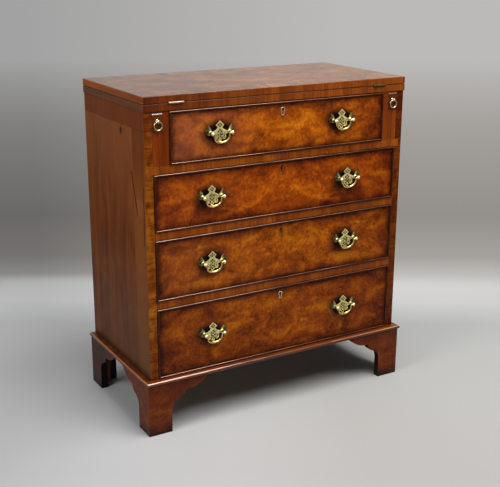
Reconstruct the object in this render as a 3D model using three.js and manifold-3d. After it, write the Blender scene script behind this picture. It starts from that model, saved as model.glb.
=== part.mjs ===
// A walnut bachelor's chest: four graduated drawers on bracket feet, and a top that folds
// forward on to two lopers to make a writing surface. Lengths are in millimetres.
// X runs along the front, Y from the front to the back, and Z up from the floor.
import * as THREE from 'three';
import { mergeVertices } from 'three/addons/utils/BufferGeometryUtils.js';
import Module from 'manifold-3d';

const wasm = await Module();
wasm.setup();

// Clearances
const fit = 0.2; // between glued pieces
const slideFit = 0.5; // each side of a loper
const drawerSideFit = 1;
const drawerTopFit = 1.5;
const drawerRunFit = 0.3; // under the drawer's sides
const frontRise = 0.8; // under the drawer's front
const overrun = 2; // how far a cut runs past the face that it opens

// Carcass
const carcassWidth = 710;
const carcassDepth = 350;
const sideThickness = 20;
const footHeight = 128;
const bottomThickness = 10;
const railHeight = 17.5;
const railDepth = 60;
const dustBoardThickness = 9;
const housingDepth = 4; // of the dust boards in the sides
const lapLength = 11; // of the top rail's ends in the sides' front edges
const lapDepth = 20;
const backThickness = 10;
const backRebate = 10;
const backBoardCount = 3;
const seamWidth = 2.4;
const seamDepth = 1.6;
const stopWidth = 38;
const stopDepth = 14;
const stopHeight = 5.5;
const stopInset = 100; // from the end of the opening

// Drawer openings, from the top one down
const topOpening = 121.5;
const secondOpening = 134;
const thirdOpening = 147.5;
const bottomOpening = 174.5;

// Top leaves and their hinges
const leafThickness = 17;
const leafOverhang = 2;
const leafGap = 0.4;
const leafRound = 1.5;
const hingeInset = 80; // from the leaf's end to the middle of the hinge
const hingeLength = 36;
const hingePlateWidth = 22;
const hingePlateThickness = 1.8;
const hingeReach = 0.8; // the pin's distance in front of the leaves' edges
const knuckleRadius = 2.6;
const knuckleCount = 5;
const hingePinRadius = 1;

// Lopers, their housings and their ring pulls
const partitionThickness = 14.5;
const loperSlotWidth = 26;
const loperSlotHeight = 46.5;
const loperEndGap = 39.8; // to the back boards
const restFrontThickness = 18;
const restRunnerHeight = 20;
const restEndGap = 19.8;
const roseRadius = 5;
const roseThickness = 1.5;
const ringDrop = 21; // from the loper's top to the ring's pivot
const ringReach = 5; // from the loper's face to the ring's pivot
const ringRadius = 9.5;
const ringWireRadius = 1.6;
const tabRadius = 4.4;
const tabThickness = 4;
const tabBoreRadius = 2.2;

// Drawers
const frontThickness = 20;
const beadWidth = 4;
const beadReach = 3;
const liningThickness = 10;
const drawerBackThickness = 9;
const drawerEndGap = 15;
const sideDrop = 6; // from the top of the front to the top of the sides
const backDrop = 5;
const panelThickness = 7;
const panelRise = 9;
const grooveDepth = 5;
const frontLap = 6; // the wood left in front of the dovetails
const tailCounts = [3, 3, 4, 4];
const tailNeckShare = 0.36;
const tailEndShare = 0.42;

// Keyholes and their brass threads
const keyholeDrop = 18.5;
const keyholeRadius = 4;
const keyholeSlotWidth = 4.4;
const keyholeLength = 12;
const threadWall = 1.6;
const threadDepth = 4;
const threadProud = 0.3;
const threadedDrawers = [0, 3];

// Handles
const topHandleInset = 125.5; // from the drawer's end to the middle of the handle
const topHandleRise = 3; // above the middle of the drawer's front
const handleInset = 144;
const handleRise = 2;
const plateWidth = 76;
const plateHeight = 53;
const plateThickness = 2;
const postSpacing = 50;
const postReach = 12.5; // from the plate's face to the middle of the head
const postHeadRadius = 4.5;
const postNeckRadius = 2.6;
const postCollarRadius = 4.6;
const postCollarHeight = 1.4;
const bailPinRadius = 1.5;
const bailBoreRadius = 1.95;
const bailPinLength = 7; // past the bend
const bailArmGap = 0.7;
const bailBend = 3;
const bailDrop = 23;
const bailMiddleRadius = 2.6;
const bailLean = 15; // degrees from upright, towards the backplate

// Base moulding and bracket feet
const mouldingReach = 16;
const bracketReach = 12;
const bracketThickness = 18;
const bracketLength = 158;
const footWidth = 60;
const footBlock = 22;
const footBlockRise = 2;

// Facet counts
const roundSteps = 3;
const noseSteps = 6;
const curveSteps = 3;
const plateSteps = 2;
const bailSteps = 4;
const rodSides = 8;
const knuckleSides = 12;
const postSides = 8;
const headSteps = 5;
const boreSides = 8;
const ringSteps = 20;

// A bracket's inner edge, as moves in shares. The first number of each pair is a share of what
// the bracket is longer than the foot is wide, and the second a share of the foot's height.
const bracketShares = [
  [0, 0.44],
  [0.03, 0.6, 0.2, 0.635],
  [0.32, 0.65, 0.36, 0.73],
  [0.37, 0.785],
  [0.76, 0.79, 0.99, 1],
];
const plainBracketShares = [[0, 0.42], [0.1, 0.6, 0.55, 1]];

// One half of the pierced backplate, from its peak to its foot, in shares of half the plate's
// width and half its height. Four numbers are a curve: its control point and its end.
const plateShares = [
  [0, 1],
  [0.29, 0.62],
  [0.19, 0.54, 0.17, 0.4],
  [0.22, 0.26, 0.34, 0.2],
  [0.46, 0.06, 0.56, 0.14],
  [0.62, 0.45, 0.8, 0.68],
  [0.89, 0.5, 0.84, 0.34],
  [0.94, 0.3, 1, 0.17],
  [0.96, -0.06, 0.84, -0.19],
  [0.74, -0.25, 0.62, -0.17],
  [0.48, -0.08, 0.38, -0.24],
  [0.46, -0.44, 0.38, -0.56],
  [0.28, -0.7, 0.18, -0.57],
  [0.08, -0.6, 0.09, -0.76],
  [0.12, -0.9, 0, -1],
];

// The plate's piercings are diamonds: the middle, then half the width and half the height.
const latticeRiseShare = 0.14;
const latticePitchShare = 0.23;
const latticeSpreadShare = 0.12;
const latticeDiamondShares = [0.07, 0.095];
const crownDiamondShares = [0, 0.66, 0.1, 0.14];
const wingDiamondShares = [0.87, 0.1, 0.05, 0.08];
const latticeRows = 4;

// The bail's half from the foot of its bend to its middle, in shares of the arm's distance from
// the middle and of the drop: two control points.
const bailCurveShares = [1.14, 0.7, 0.72, 1];

const finishes = {
  walnut: { color: 0x7a4522, roughness: 0.32, metalness: 0 },
  burr: { color: 0x9a5420, roughness: 0.3, metalness: 0 },
  oak: { color: 0xa9855a, roughness: 0.7, metalness: 0 },
  pine: { color: 0x8f7048, roughness: 0.8, metalness: 0 },
  brass: { color: 0xc2a460, roughness: 0.28, metalness: 1 },
};

// Levels and widths that follow from the sizes above
const openings = [topOpening, secondOpening, thirdOpening, bottomOpening];
const drawerCount = openings.length;
const floors = new Array(drawerCount);
let level = footHeight + bottomThickness;
for (let index = drawerCount - 1; index >= 0; index -= 1) {
  floors[index] = level;
  level += openings[index] + railHeight;
}
const carcassTop = level - railHeight;
const clearHalf = carcassWidth / 2 - sideThickness;
const topHalf = clearHalf - loperSlotWidth - partitionThickness;
const innerDepth = carcassDepth - backThickness - fit;
const restTop = carcassTop - loperSlotHeight;
const leafHalf = carcassWidth / 2 + leafOverhang;
const fixedLeafBase = carcassTop + fit;
const fixedLeafTop = fixedLeafBase + leafThickness;
const hingeY = -leafOverhang - hingeReach;
const hingeZ = fixedLeafTop + leafGap / 2;
const sides = [['left', -1], ['right', 1]];

const axes = {
  x: new THREE.Vector3(1, 0, 0),
  y: new THREE.Vector3(0, 1, 0),
  z: new THREE.Vector3(0, 0, 1),
};
// Where an outline's across, its up and its length go for a prism along each axis
const prismBases = {
  x: [axes.y, axes.z, axes.x],
  y: [axes.x, axes.z, axes.y.clone().negate()],
  z: [axes.x, axes.y, axes.z],
};

// Turns a closed geometry into a solid with its faces pointing out.
function solidOf(geometry) {
  const bare = geometry.clone();
  bare.deleteAttribute('normal');
  bare.deleteAttribute('uv');
  const merged = mergeVertices(bare);
  const points = merged.attributes.position;
  const corners = [0, 1, 2].map(() => new THREE.Vector3());
  const faces = [];
  let volume = 0;
  for (let start = 0; start < merged.index.count; start += 3) {
    const face = [0, 1, 2].map((step) => merged.index.getX(start + step));
    if (new Set(face).size < 3) continue;
    face.forEach((index, step) => corners[step].fromBufferAttribute(points, index));
    volume += corners[0].dot(corners[1].clone().cross(corners[2]));
    faces.push(face);
  }
  const outward = volume < 0 ? faces.map(([a, b, c]) => [a, c, b]) : faces;
  return new wasm.Manifold(new wasm.Mesh({
    numProp: 3,
    vertProperties: new Float32Array(points.array),
    triVerts: new Uint32Array(outward.flat()),
  }));
}

// A block between two corners, given as a pair of values along each axis
function block(x, y, z) {
  const size = [x, y, z].map(([from, to]) => Math.abs(to - from));
  const middle = [x, y, z].map(([from, to]) => (from + to) / 2);
  return solidOf(new THREE.BoxGeometry(...size).translate(...middle));
}

// Extrudes an outline, a shape or a list of points, along one axis.
function prism(outline, axis, from, to) {
  const shape = Array.isArray(outline)
    ? new THREE.Shape(outline.map(([across, up]) => new THREE.Vector2(across, up)))
    : outline;
  const options = { depth: Math.abs(to - from), bevelEnabled: false, curveSegments: curveSteps };
  const geometry = new THREE.ExtrudeGeometry(shape, options);
  geometry.applyMatrix4(new THREE.Matrix4().makeBasis(...prismBases[axis]));
  const start = axis === 'y' ? Math.max(from, to) : Math.min(from, to);
  geometry.translate(...axes[axis].clone().multiplyScalar(start).toArray());
  return solidOf(geometry);
}

// Skins rings of points one after another and closes both ends.
function loft(rings) {
  const count = rings[0].length;
  const last = (rings.length - 1) * count;
  const faces = [];
  for (let ring = 0; ring < rings.length - 1; ring += 1) {
    for (let step = 0; step < count; step += 1) {
      const a = ring * count + step;
      const b = ring * count + (step + 1) % count;
      faces.push(a, b, b + count, a, b + count, a + count);
    }
  }
  for (let step = 1; step < count - 1; step += 1) {
    faces.push(0, step + 1, step, last, last + step, last + step + 1);
  }
  const geometry = new THREE.BufferGeometry().setFromPoints(rings.flat());
  geometry.setIndex(faces);
  return solidOf(geometry);
}

function cylinderX(radius, from, to, y, z, segments) {
  const geometry = new THREE.CylinderGeometry(radius, radius, Math.abs(to - from), segments);
  return solidOf(geometry.rotateZ(Math.PI / 2).translate((from + to) / 2, y, z));
}

// A solid of revolution about a line along Y; its profile is pairs of radius and y.
function turnedY(profile, x, z) {
  const points = profile.map(([radius, y]) => new THREE.Vector2(radius, y));
  return solidOf(new THREE.LatheGeometry(points, postSides).translate(x, 0, z));
}

// Draws lines (two numbers) and curves (four) after a start, then gives points along them.
function traced(start, moves, steps) {
  const path = new THREE.Path().moveTo(...start);
  for (const move of moves) {
    if (move.length === 2) path.lineTo(...move);
    else path.quadraticCurveTo(...move);
  }
  return path.getPoints(steps).map((point) => [point.x, point.y]);
}

function piece(name, solid, finish) {
  const mesh = solid.getMesh();
  const geometry = new THREE.BufferGeometry();
  geometry.setAttribute('position', new THREE.BufferAttribute(mesh.vertProperties.slice(), 3));
  geometry.setIndex(new THREE.BufferAttribute(mesh.triVerts.slice(), 1));
  const material = new THREE.MeshStandardMaterial({ ...finishes[finish], flatShading: true });
  const result = new THREE.Mesh(geometry, material);
  result.name = name;
  return result;
}

function sidePanel(sign) {
  const inner = sign * clearHalf;
  const reach = (depth) => [inner - sign * overrun, inner + sign * (depth + fit)];
  let panel = block([inner, sign * carcassWidth / 2], [0, carcassDepth], [footHeight, carcassTop]);
  panel = panel.subtract(block(
    reach(backRebate),
    [innerDepth, carcassDepth + overrun],
    [footHeight - overrun, carcassTop + overrun],
  ));
  for (const top of floors.slice(0, -1)) {
    const housing = [top - dustBoardThickness - fit, top + fit];
    panel = panel.subtract(block(reach(housingDepth), [railDepth - fit, innerDepth], housing));
  }
  const lap = [floors[0] - railHeight - fit, floors[0] + fit];
  return panel.subtract(block(reach(lapLength), [-overrun, lapDepth + fit], lap));
}

function backBoards() {
  const half = clearHalf + backRebate;
  const rear = [[-half, carcassDepth]];
  for (let seam = 1; seam < backBoardCount; seam += 1) {
    const x = half * (2 * seam / backBoardCount - 1);
    rear.push([x - seamWidth / 2, carcassDepth], [x, carcassDepth - seamDepth]);
    rear.push([x + seamWidth / 2, carcassDepth]);
  }
  rear.push([half, carcassDepth]);
  const face = carcassDepth - backThickness;
  return prism([...rear, [half, face], [-half, face]], 'z', footHeight + fit, carcassTop);
}

// Two small blocks that the closed drawer's front meets, on the floor of its opening
function drawerStops(half, floor) {
  const front = frontThickness + drawerRunFit;
  const middle = half - stopInset;
  return sides.map(([, sign]) => block(
    [sign * middle - stopWidth / 2, sign * middle + stopWidth / 2],
    [front, front + stopDepth],
    [floor - overrun, floor + stopHeight],
  ));
}

function openingHalf(index) {
  return index === 0 ? topHalf : clearHalf;
}

// A walnut rail with the dust board behind it; the top rail's ends lap on to the sides.
function divider(index) {
  const top = floors[index];
  const bottom = top - railHeight;
  const half = clearHalf - fit;
  const dustHalf = clearHalf + housingDepth;
  let solid = block([-half, half], [0, railDepth], [bottom, top]);
  solid = solid.add(block(
    [-dustHalf, dustHalf],
    [railDepth, innerDepth - fit],
    [top - dustBoardThickness, top],
  ));
  if (index === 0) {
    const lapHalf = clearHalf + lapLength;
    solid = solid.add(block([-lapHalf, lapHalf], [0, lapDepth], [bottom, top]));
  }
  return drawerStops(openingHalf(index), top).reduce((sum, stop) => sum.add(stop), solid);
}

function bottomBoard() {
  const half = clearHalf - fit;
  const floor = floors[drawerCount - 1];
  const board = block([-half, half], [0, innerDepth - fit], [footHeight, floor]);
  return drawerStops(clearHalf, floor).reduce((sum, stop) => sum.add(stop), board);
}

function partition(sign) {
  const across = [sign * topHalf, sign * (topHalf + partitionThickness)];
  return block(across, [0, innerDepth - fit], [floors[0] + fit, carcassTop]);
}

// The filler below a loper, with the runner that the loper slides on
function loperRest(sign) {
  const base = floors[0] + fit;
  const outline = [
    [0, base],
    [restFrontThickness, base],
    [restFrontThickness, restTop - restRunnerHeight],
    [innerDepth - restEndGap, restTop - restRunnerHeight],
    [innerDepth - restEndGap, restTop],
    [0, restTop],
  ];
  return prism(outline, 'x', sign * (clearHalf - loperSlotWidth + fit), sign * (clearHalf - fit));
}

// A leaf of the top with rounded arrises
function leaf(base) {
  const rings = [];
  const addRing = (inset, z) => rings.push([
    new THREE.Vector3(inset - leafHalf, inset - leafOverhang, z),
    new THREE.Vector3(leafHalf - inset, inset - leafOverhang, z),
    new THREE.Vector3(leafHalf - inset, carcassDepth - inset, z),
    new THREE.Vector3(inset - leafHalf, carcassDepth - inset, z),
  ]);
  const turns = Array.from({ length: roundSteps + 1 }, (_, step) => (step / roundSteps) * Math.PI / 2);
  for (const turn of turns) {
    addRing(leafRound * (1 - Math.sin(turn)), base + leafRound * (1 - Math.cos(turn)));
  }
  for (const turn of turns.reverse()) {
    addRing(leafRound * (1 - Math.sin(turn)), base + leafThickness - leafRound * (1 - Math.cos(turn)));
  }
  return loft(rings);
}

// A hinge plate let into a leaf: up is 1 for the folding leaf and -1 for the fixed one.
function hingePlate(x, up, ease) {
  const half = hingeLength / 2 + ease;
  const face = hingeZ + up * leafGap / 2;
  return block(
    [x - half, x + half],
    [hingeY, hingeY + hingePlateWidth + ease],
    [face, face + up * (hingePlateThickness + ease)],
  );
}

function knuckle(x, index, radius, ease) {
  const pitch = hingeLength / knuckleCount;
  const start = x - hingeLength / 2 + index * pitch;
  return cylinderX(radius, start - ease, start + pitch + ease, hingeY, hingeZ, knuckleSides);
}

// One half of a butt hinge. The fixed half holds the odd knuckles and the pin.
function hingeHalf(x, up) {
  const ownParity = up > 0 ? 1 : 0;
  let solid = hingePlate(x, up, 0);
  for (let index = 0; index < knuckleCount; index += 1) {
    if (index % 2 === ownParity) solid = solid.add(knuckle(x, index, knuckleRadius, -fit / 2));
    else solid = solid.subtract(knuckle(x, index, knuckleRadius + fit, fit / 2));
  }
  const from = x - hingeLength / 2;
  const bore = up > 0 ? hingePinRadius + fit : hingePinRadius;
  const pin = cylinderX(bore, from, from + hingeLength, hingeY, hingeZ, knuckleSides);
  return up > 0 ? solid.subtract(pin) : solid.add(pin);
}

function hingedLeaf(base, up) {
  let solid = leaf(base);
  for (const [, sign] of sides) {
    const x = sign * (leafHalf - hingeInset);
    const half = hingeLength / 2 + fit;
    const recess = hingePlate(x, up, fit);
    const relief = cylinderX(knuckleRadius + fit, x - half, x + half, hingeY, hingeZ, knuckleSides);
    solid = solid.subtract(recess).subtract(relief);
  }
  return solid;
}

function loper(sign) {
  const middle = sign * (clearHalf - loperSlotWidth / 2);
  const half = loperSlotWidth / 2 - slideFit;
  const end = innerDepth - loperEndGap;
  return block([middle - half, middle + half], [0, end], [restTop + fit, carcassTop]);
}

function ringPull(sign) {
  const x = sign * (clearHalf - loperSlotWidth / 2);
  const z = carcassTop - ringDrop;
  const group = new THREE.Group();
  group.position.set(x, 0, z);
  const rose = turnedY([[0, 0], [roseRadius, 0], [tabThickness, -roseThickness], [0, -roseThickness]], 0, 0);
  const stem = block([-tabThickness / 2, tabThickness / 2], [-ringReach, -fit], [-tabRadius / 2, tabRadius / 2]);
  const disc = cylinderX(tabRadius, -tabThickness / 2, tabThickness / 2, -ringReach, 0, knuckleSides);
  const bore = cylinderX(tabBoreRadius, -tabThickness, tabThickness, -ringReach, 0, knuckleSides);
  const ring = new THREE.TorusGeometry(ringRadius, ringWireRadius, rodSides, ringSteps);
  ring.rotateX(Math.PI / 2).translate(0, -ringReach, -ringRadius);
  return { group, eye: rose.add(stem).add(disc).subtract(bore), ring: solidOf(ring) };
}

// The edge of the base moulding: pairs of reach from the carcass and height
function mouldingProfile() {
  const nose = bottomThickness / 2;
  const points = [[fit, footHeight]];
  for (let step = 0; step <= noseSteps; step += 1) {
    const turn = (step / noseSteps - 0.5) * Math.PI;
    points.push([mouldingReach - nose + nose * Math.cos(turn), footHeight + nose + nose * Math.sin(turn)]);
  }
  points.push([fit, footHeight + bottomThickness]);
  return points;
}

function frontMoulding() {
  return loft(sides.map(([, sign]) => mouldingProfile().map(
    ([reach, z]) => new THREE.Vector3(sign * (carcassWidth / 2 + reach), -reach, z),
  )));
}

function sideMoulding(sign) {
  const ringAt = (yOf) => mouldingProfile().map(
    ([reach, z]) => new THREE.Vector3(sign * (carcassWidth / 2 + reach), yOf(reach), z),
  );
  return loft([ringAt((reach) => fit - reach), ringAt(() => carcassDepth)]);
}

// A bracket's outline, as pairs of distance from the foot's corner and height
function bracketOutline(shares) {
  const top = footHeight - fit;
  const spare = bracketLength - footWidth;
  const moves = shares.map((move) => move.map(
    (share, place) => (place % 2 === 0 ? footWidth + spare * share : top * share),
  ));
  return [[0, 0], ...traced([footWidth, 0], moves, curveSteps), [0, top]];
}

// Two brackets that meet at the corner, with a glue block behind them
function foot(sign, atBack) {
  const cornerX = sign * (carcassWidth / 2 + bracketReach);
  const cornerY = atBack ? carcassDepth : -bracketReach;
  const inward = atBack ? -1 : 1;
  const faceShares = atBack ? plainBracketShares : bracketShares;
  const across = bracketOutline(faceShares).map(([along, z]) => [cornerX - sign * along, z]);
  const alongSide = bracketOutline(bracketShares).map(([along, z]) => [cornerY + inward * along, z]);
  const front = prism(across, 'y', cornerY, cornerY + inward * bracketThickness);
  const side = prism(alongSide, 'x', cornerX, cornerX - sign * bracketThickness);
  const near = bracketThickness / 2;
  const far = bracketThickness + footBlock;
  const glueBlock = block(
    [cornerX - sign * near, cornerX - sign * far],
    [cornerY + inward * near, cornerY + inward * far],
    [footBlockRise, footHeight - fit],
  );
  return front.add(side).add(glueBlock);
}

// The drawer's front inside a cock bead, from the back face round the bead's nose to the face
function beadedBoard(half, base, top) {
  const rings = [];
  const addRing = (inset, y) => rings.push([
    new THREE.Vector3(-half + inset, y, base + inset),
    new THREE.Vector3(half - inset, y, base + inset),
    new THREE.Vector3(half - inset, y, top - inset),
    new THREE.Vector3(-half + inset, y, top - inset),
  ]);
  const nose = beadWidth / 2;
  addRing(0, frontThickness);
  for (let step = 0; step <= noseSteps; step += 1) {
    const turn = Math.PI * (1 - step / noseSteps);
    addRing(nose + nose * Math.cos(turn), nose - beadReach - nose * Math.sin(turn));
  }
  addRing(beadWidth, 0);
  return loft(rings);
}

// A keyhole's outline about the middle of its round head, grown by a wall
function keyholeShape(wall) {
  const radius = keyholeRadius + wall;
  const half = keyholeSlotWidth / 2 + wall;
  const turn = Math.asin(half / radius);
  const shape = new THREE.Shape();
  shape.absarc(0, 0, radius, turn - Math.PI / 2, Math.PI * 1.5 - turn, false);
  shape.lineTo(-half, -keyholeLength - wall);
  shape.lineTo(half, -keyholeLength - wall);
  return shape;
}

function keyholePrism(wall, front, back, z) {
  return prism(keyholeShape(wall), 'y', front, back).translate([0, 0, z]);
}

// The sizes that the pieces of one drawer share; heights are above the floor of its opening.
function drawerSizes(index) {
  const half = openingHalf(index) - drawerSideFit;
  const top = openings[index] - drawerTopFit;
  const sideTop = top - sideDrop;
  const pitch = (sideTop - drawerRunFit) / tailCounts[index];
  const panelBase = drawerRunFit + panelRise;
  return {
    half,
    top,
    sideTop,
    inner: half - liningThickness,
    end: innerDepth - drawerEndGap,
    panelBase,
    groove: [panelBase - fit, panelBase + panelThickness + fit],
    keyhole: top - keyholeDrop,
    tailCentres: Array.from({ length: tailCounts[index] }, (_, tail) => drawerRunFit + pitch * (tail + 0.5)),
    tailHalf: (y) => pitch * (tailNeckShare
      + (tailEndShare - tailNeckShare) * (frontThickness - y) / (frontThickness - frontLap)),
  };
}

function drawerFront(index) {
  const size = drawerSizes(index);
  let board = beadedBoard(size.half, frontRise, size.top);
  const back = frontThickness + overrun;
  for (const [, sign] of sides) {
    for (const z of size.tailCentres) {
      const deep = size.tailHalf(frontLap) + fit;
      const shallow = size.tailHalf(back) + fit;
      const socket = [[frontLap, z - deep], [back, z - shallow], [back, z + shallow], [frontLap, z + deep]];
      board = board.subtract(prism(socket, 'x', sign * (size.inner - fit), sign * (size.half + overrun)));
    }
  }
  const grooveHalf = size.inner + grooveDepth;
  board = board.subtract(block([-grooveHalf, grooveHalf], [frontThickness - grooveDepth, back], size.groove));
  if (threadedDrawers.includes(index)) {
    const recess = keyholePrism(threadWall + fit, -overrun, threadDepth + fit, size.keyhole);
    board = board.subtract(recess);
  }
  return board.subtract(keyholePrism(0, -overrun, back, size.keyhole));
}

function keyholeThread(index) {
  const { keyhole } = drawerSizes(index);
  const outer = keyholePrism(threadWall, -threadProud, threadDepth, keyhole);
  return outer.subtract(keyholePrism(0, -overrun, threadDepth + overrun, keyhole));
}

// The two sides, dovetailed into the front, and the back between them
function drawerFrame(index) {
  const size = drawerSizes(index);
  const shoulder = frontThickness + fit;
  const tip = frontLap + fit;
  const outline = [[size.end, drawerRunFit], [shoulder, drawerRunFit]];
  for (const z of size.tailCentres) {
    outline.push([shoulder, z - size.tailHalf(shoulder)], [tip, z - size.tailHalf(tip)]);
    outline.push([tip, z + size.tailHalf(tip)], [shoulder, z + size.tailHalf(shoulder)]);
  }
  outline.push([shoulder, size.sideTop], [size.end, size.sideTop]);
  let frame = block(
    [-size.half, size.half],
    [size.end - drawerBackThickness, size.end],
    [size.groove[1], size.sideTop - backDrop],
  );
  for (const [, sign] of sides) {
    const side = prism(outline, 'x', sign * size.inner, sign * size.half);
    const groove = block(
      [sign * (size.inner - overrun), sign * (size.inner + grooveDepth)],
      [0, size.end + overrun],
      size.groove,
    );
    frame = frame.add(side.subtract(groove));
  }
  return frame;
}

function drawerPanel(index) {
  const size = drawerSizes(index);
  const half = size.inner + grooveDepth - fit;
  return block(
    [-half, half],
    [frontThickness - grooveDepth + fit, size.end],
    [size.panelBase, size.panelBase + panelThickness],
  );
}

function diamond(x, z, halfWidth, halfHeight) {
  const path = new THREE.Path().moveTo(x - halfWidth, z).lineTo(x, z - halfHeight);
  return path.lineTo(x + halfWidth, z).lineTo(x, z + halfHeight).closePath();
}

// The pierced backplate's shape about its middle
function plateShape() {
  const wide = plateWidth / 2;
  const tall = plateHeight / 2;
  const scaled = plateShares.map((move) => move.map(
    (share, place) => share * (place % 2 === 0 ? wide : tall),
  ));
  const right = traced(scaled[0], scaled.slice(1), plateSteps);
  const left = right.slice(1, -1).reverse().map(([x, z]) => [-x, z]);
  const shape = new THREE.Shape([...right, ...left].map(([x, z]) => new THREE.Vector2(x, z)));
  const pierce = (x, z, width, height) => {
    shape.holes.push(diamond(x * wide, z * tall, width * wide, height * tall));
  };
  pierce(...crownDiamondShares);
  for (let row = 0; row < latticeRows; row += 1) {
    const rise = latticeRiseShare - row * latticePitchShare;
    pierce(0, rise, ...latticeDiamondShares);
    if (row === latticeRows - 1) continue;
    for (const [, sign] of sides) {
      pierce(sign * latticeSpreadShare, rise - latticePitchShare / 2, ...latticeDiamondShares);
    }
  }
  const [wingX, ...wing] = wingDiamondShares;
  for (const [, sign] of sides) pierce(sign * wingX, ...wing);
  return shape;
}

function post(x) {
  const head = -plateThickness - postReach;
  const collar = -plateThickness - postCollarHeight;
  const profile = [
    [0, -fit],
    [postCollarRadius, -fit],
    [postCollarRadius, collar],
    [postNeckRadius, collar - postCollarHeight],
  ];
  const start = Math.asin(postNeckRadius / postHeadRadius);
  for (let step = 0; step <= headSteps; step += 1) {
    const turn = start + (Math.PI - start) * step / headSteps;
    const radius = step === headSteps ? 0 : postHeadRadius * Math.sin(turn);
    profile.push([radius, head + postHeadRadius * Math.cos(turn)]);
  }
  const half = postHeadRadius + overrun;
  return turnedY(profile, x, 0).subtract(
    cylinderX(bailBoreRadius, x - half, x + half, head, 0, boreSides),
  );
}

function backplate() {
  const plate = prism(plateShape(), 'y', -plateThickness, 0);
  return sides.reduce((sum, [, sign]) => sum.add(post(sign * postSpacing / 2)), plate);
}

// The bail's middle line, in its own plane: its pins, bends, arms and bowed grip
function bailPath() {
  const arm = postSpacing / 2 - postHeadRadius - bailPinRadius - bailArmGap;
  const [outX, outZ, inX, inZ] = bailCurveShares;
  const grip = [outX * arm, -outZ * bailDrop, inX * arm, -inZ * bailDrop];
  const path = new THREE.Path().moveTo(-arm - bailBend - bailPinLength, 0).lineTo(-arm - bailBend, 0);
  path.quadraticCurveTo(-arm, 0, -arm, -bailBend);
  path.bezierCurveTo(-grip[0], grip[1], -grip[2], grip[3], 0, -bailDrop);
  path.bezierCurveTo(grip[2], grip[3], grip[0], grip[1], arm, -bailBend);
  path.quadraticCurveTo(arm, 0, arm + bailBend, 0);
  return path.lineTo(arm + bailBend + bailPinLength, 0);
}

// The bail is a rod that thickens towards the middle of its grip and leans on its pins.
function bail() {
  const points = bailPath().getPoints(bailSteps);
  const y = -plateThickness - postReach;
  const rings = points.map((point, index) => {
    const before = points[Math.max(index - 1, 0)];
    const after = points[Math.min(index + 1, points.length - 1)];
    const along = after.clone().sub(before).normalize();
    const depth = -point.y / bailDrop;
    const radius = bailPinRadius + (bailMiddleRadius - bailPinRadius) * depth ** 2;
    return Array.from({ length: rodSides }, (_, side) => {
      const turn = (side + 0.5) / rodSides * Math.PI * 2;
      const out = radius * Math.cos(turn);
      return new THREE.Vector3(point.x - along.y * out, y + radius * Math.sin(turn), point.y + along.x * out);
    });
  });
  return loft(rings).translate([0, -y, 0]).rotate([bailLean, 0, 0]).translate([0, y, 0]);
}

function handle(name) {
  const group = new THREE.Group();
  group.add(piece(`${name}_plate`, backplate(), 'brass'));
  group.add(piece(`${name}_bail`, bail(), 'brass'));
  return group;
}

function drawer(index) {
  const name = `drawer_${index + 1}`;
  const { half, top } = drawerSizes(index);
  const [inset, rise] = index === 0 ? [topHandleInset, topHandleRise] : [handleInset, handleRise];
  const group = new THREE.Group();
  group.position.z = floors[index];
  group.add(piece(`${name}_front`, drawerFront(index), 'burr'));
  group.add(piece(`${name}_frame`, drawerFrame(index), 'oak'));
  group.add(piece(`${name}_panel`, drawerPanel(index), 'oak'));
  if (threadedDrawers.includes(index)) {
    group.add(piece(`${name}_keyhole_thread`, keyholeThread(index), 'brass'));
  }
  for (const [hand, sign] of sides) {
    const pull = handle(`${name}_handle_${hand}`);
    pull.position.set(sign * (half - inset), 0, (frontRise + top) / 2 + rise);
    group.add(pull);
  }
  return group;
}

function carcass() {
  const group = new THREE.Group();
  group.add(piece('back_boards', backBoards(), 'pine'));
  group.add(piece('bottom_board', bottomBoard(), 'pine'));
  group.add(piece('fixed_top', hingedLeaf(fixedLeafBase, -1), 'walnut'));
  group.add(piece('base_moulding_front', frontMoulding(), 'walnut'));
  for (let index = 0; index < drawerCount - 1; index += 1) {
    group.add(piece(`divider_${index + 1}`, divider(index), 'walnut'));
  }
  for (const [hand, sign] of sides) {
    group.add(piece(`side_${hand}`, sidePanel(sign), 'walnut'));
    group.add(piece(`loper_partition_${hand}`, partition(sign), 'walnut'));
    group.add(piece(`loper_rest_${hand}`, loperRest(sign), 'walnut'));
    group.add(piece(`base_moulding_${hand}`, sideMoulding(sign), 'walnut'));
    group.add(piece(`foot_front_${hand}`, foot(sign, false), 'walnut'));
    group.add(piece(`foot_back_${hand}`, foot(sign, true), 'walnut'));
    group.add(piece(`hinge_fixed_${hand}`, hingeHalf(sign * (leafHalf - hingeInset), -1), 'brass'));
  }
  return group;
}

function foldingTop() {
  const group = new THREE.Group();
  group.add(piece('folding_top', hingedLeaf(fixedLeafTop + leafGap, 1), 'walnut'));
  for (const [hand, sign] of sides) {
    group.add(piece(`hinge_folding_${hand}`, hingeHalf(sign * (leafHalf - hingeInset), 1), 'brass'));
  }
  return group;
}

function lopers() {
  const group = new THREE.Group();
  for (const [hand, sign] of sides) {
    const pull = ringPull(sign);
    pull.group.add(piece(`loper_${hand}_eye`, pull.eye, 'brass'));
    pull.group.add(piece(`loper_${hand}_ring`, pull.ring, 'brass'));
    group.add(piece(`loper_${hand}`, loper(sign), 'walnut'), pull.group);
  }
  return group;
}

// The chest stands on the origin, in the middle of its outline seen from above.
const chest = new THREE.Group();
chest.add(carcass(), foldingTop(), lopers());
for (let index = 0; index < drawerCount; index += 1) chest.add(drawer(index));
const bounds = new THREE.Box3().setFromObject(chest);
const middle = bounds.getCenter(new THREE.Vector3());
chest.position.set(-middle.x, -middle.y, -bounds.min.z);

export default chest;
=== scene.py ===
"""A walnut bachelor's chest: its veneers, cock beads, brass handles and a plain studio.
Lengths are in millimetres until a piece is made, and MM turns them to metres."""
import math

import bmesh
import bpy
import numpy as np
from mathutils import Matrix, Vector


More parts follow.
